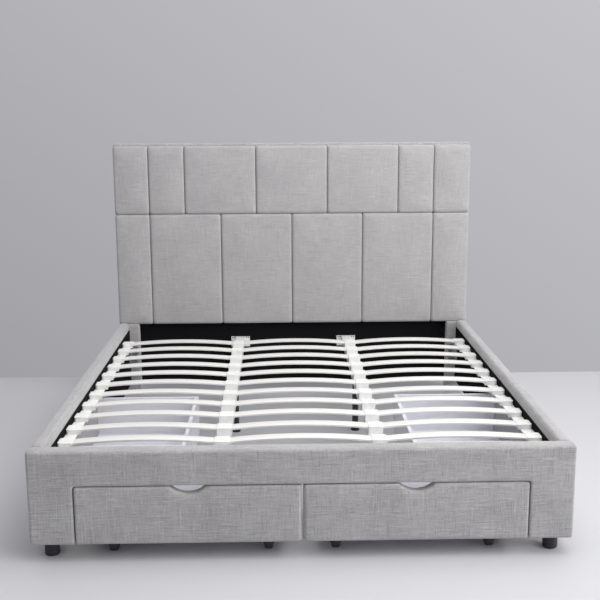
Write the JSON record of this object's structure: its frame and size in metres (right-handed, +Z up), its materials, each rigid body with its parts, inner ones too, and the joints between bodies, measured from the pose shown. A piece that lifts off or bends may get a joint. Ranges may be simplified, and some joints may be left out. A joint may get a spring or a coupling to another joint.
{
  "type": "platform bed with storage drawers",
  "caption": "Upholstered platform bed for a wide mattress, with a panelled padded headboard, bowed slats on middle rails, and castored storage drawers under the foot and the sides.",
  "frame": {"origin": "on the floor, under the centre of the bed's outline", "axes": "+X to the bed's right seen from the foot, +Y from the foot to the headboard, +Z up"},
  "size_m": [1.94, 2.16, 1.397],
  "materials": {
    "upholstery": "light grey linen-look weave with slubs",
    "black_lining": "matte non-woven lining",
    "white_steel": "satin white powder coat",
    "zinc_steel": "zinc plated",
    "block_wood": "raw pine",
    "black_steel": "satin black powder coat",
    "black_plastic": "moulded, fine texture",
    "white_plastic": "satin moulded",
    "white_slat": "white film over laminated birch",
    "white_board": "white melamine-faced board",
    "castor_housing": "moulded",
    "castor_tyre": "matte"
  },
  "bodies": {
    "bed": {"headboard_board": "upholstery", "headboard_back_lining": "black_lining", "headboard_pads_top": "upholstery", "headboard_pads_bottom": "upholstery", "headboard_post_left": "upholstery", "headboard_post_right": "upholstery", "headboard_lower_panel": "black_lining", "foot_frame": "upholstery", "foot_frame_lining": "black_lining", "side_rail_left": "upholstery", "side_rail_right": "upholstery", "side_rail_lining_left": "black_lining", "side_rail_lining_right": "black_lining", "slat_rail_left": "white_steel", "slat_rail_right": "white_steel", "mid_rail_left": "white_steel", "mid_rail_right": "white_steel", "mid_rail_brackets": "white_steel", "mid_rail_screws": "zinc_steel", "slat_rail_screws": "zinc_steel", "corner_brackets": "zinc_steel", "corner_blocks": "block_wood", "frame_bolts": "zinc_steel", "support_legs": "black_steel", "support_leg_pads": "black_plastic", "front_feet": "black_plastic", "rear_glides": "black_plastic", "slat_end_caps": "white_plastic", "mid_slat_holders": "white_plastic", "slats_left": "white_slat", "slats_middle": "white_slat", "slats_right": "white_slat"},
    "foot_drawer_left": {"foot_drawer_left_front": "upholstery", "foot_drawer_left_sides": "white_board", "foot_drawer_left_back": "white_board", "foot_drawer_left_bottom": "white_board", "foot_drawer_left_castor_forks": "castor_housing"},
    "foot_drawer_left_front_wheel_pair": {"foot_drawer_left_front_wheels": "castor_tyre"},
    "foot_drawer_left_rear_wheel_pair": {"foot_drawer_left_rear_wheels": "castor_tyre"},
    "foot_drawer_right": {"foot_drawer_right_front": "upholstery", "foot_drawer_right_sides": "white_board", "foot_drawer_right_back": "white_board", "foot_drawer_right_bottom": "white_board", "foot_drawer_right_castor_forks": "castor_housing"},
    "foot_drawer_right_front_wheel_pair": {"foot_drawer_right_front_wheels": "castor_tyre"},
    "foot_drawer_right_rear_wheel_pair": {"foot_drawer_right_rear_wheels": "castor_tyre"},
    "side_drawer_left": {"side_drawer_left_front": "upholstery", "side_drawer_left_sides": "white_board", "side_drawer_left_back": "white_board", "side_drawer_left_bottom": "white_board", "side_drawer_left_castor_forks": "castor_housing"},
    "side_drawer_left_front_wheel_pair": {"side_drawer_left_front_wheels": "castor_tyre"},
    "side_drawer_left_rear_wheel_pair": {"side_drawer_left_rear_wheels": "castor_tyre"},
    "side_drawer_right": {"side_drawer_right_front": "upholstery", "side_drawer_right_sides": "white_board", "side_drawer_right_back": "white_board", "side_drawer_right_bottom": "white_board", "side_drawer_right_castor_forks": "castor_housing"},
    "side_drawer_right_front_wheel_pair": {"side_drawer_right_front_wheels": "castor_tyre"},
    "side_drawer_right_rear_wheel_pair": {"side_drawer_right_rear_wheels": "castor_tyre"}
  },
  "joints": [
    {"name": "foot_drawer_left_slide", "type": "slide", "parent": "bed", "child": "foot_drawer_left", "axis": [0, -1, 0], "range_m": [0, 0.36]},
    {"name": "foot_drawer_left_front_wheel_pair_roll", "type": "hinge", "parent": "foot_drawer_left", "child": "foot_drawer_left_front_wheel_pair", "pos_m": [-0.4045, -0.98, 0.025], "axis": [1, 0, 0], "range_deg": [0, 827]},
    {"name": "foot_drawer_left_rear_wheel_pair_roll", "type": "hinge", "parent": "foot_drawer_left", "child": "foot_drawer_left_rear_wheel_pair", "pos_m": [-0.4045, -0.69, 0.025], "axis": [1, 0, 0], "range_deg": [0, 827]},
    {"name": "foot_drawer_right_slide", "type": "slide", "parent": "bed", "child": "foot_drawer_right", "axis": [0, -1, 0], "range_m": [0, 0.36]},
    {"name": "foot_drawer_right_front_wheel_pair_roll", "type": "hinge", "parent": "foot_drawer_right", "child": "foot_drawer_right_front_wheel_pair", "pos_m": [0.4045, -0.98, 0.025], "axis": [1, 0, 0], "range_deg": [0, 827]},
    {"name": "foot_drawer_right_rear_wheel_pair_roll", "type": "hinge", "parent": "foot_drawer_right", "child": "foot_drawer_right_rear_wheel_pair", "pos_m": [0.4045, -0.69, 0.025], "axis": [1, 0, 0], "range_deg": [0, 827]},
    {"name": "side_drawer_left_slide", "type": "slide", "parent": "bed", "child": "side_drawer_left", "axis": [-1, 0, 0], "range_m": [0, 0.4]},
    {"name": "side_drawer_left_front_wheel_pair_roll", "type": "hinge", "parent": "side_drawer_left", "child": "side_drawer_left_front_wheel_pair", "pos_m": [-0.868, -0.26, 0.025], "axis": [0, -1, 0], "range_deg": [0, 918]},
    {"name": "side_drawer_left_rear_wheel_pair_roll", "type": "hinge", "parent": "side_drawer_left", "child": "side_drawer_left_rear_wheel_pair", "pos_m": [-0.518, -0.26, 0.025], "axis": [0, -1, 0], "range_deg": [0, 918]},
    {"name": "side_drawer_right_slide", "type": "slide", "parent": "bed", "child": "side_drawer_right", "axis": [1, 0, 0], "range_m": [0, 0.4]},
    {"name": "side_drawer_right_front_wheel_pair_roll", "type": "hinge", "parent": "side_drawer_right", "child": "side_drawer_right_front_wheel_pair", "pos_m": [0.868, -0.26, 0.025], "axis": [0, 1, 0], "range_deg": [0, 918]},
    {"name": "side_drawer_right_rear_wheel_pair_roll", "type": "hinge", "parent": "side_drawer_right", "child": "side_drawer_right_rear_wheel_pair", "pos_m": [0.518, -0.26, 0.025], "axis": [0, 1, 0], "range_deg": [0, 918]}
  ],
  "couplings": [
    {"joint": "foot_drawer_left_front_wheel_pair_roll", "follows": "foot_drawer_left_slide", "rad_per_m": 40},
    {"joint": "foot_drawer_left_rear_wheel_pair_roll", "follows": "foot_drawer_left_slide", "rad_per_m": 40},
    {"joint": "foot_drawer_right_front_wheel_pair_roll", "follows": "foot_drawer_right_slide", "rad_per_m": 40},
    {"joint": "foot_drawer_right_rear_wheel_pair_roll", "follows": "foot_drawer_right_slide", "rad_per_m": 40},
    {"joint": "side_drawer_left_front_wheel_pair_roll", "follows": "side_drawer_left_slide", "rad_per_m": 40},
    {"joint": "side_drawer_left_rear_wheel_pair_roll", "follows": "side_drawer_left_slide", "rad_per_m": 40},
    {"joint": "side_drawer_right_front_wheel_pair_roll", "follows": "side_drawer_right_slide", "rad_per_m": 40},
    {"joint": "side_drawer_right_rear_wheel_pair_roll", "follows": "side_drawer_right_slide", "rad_per_m": 40}
  ]
}
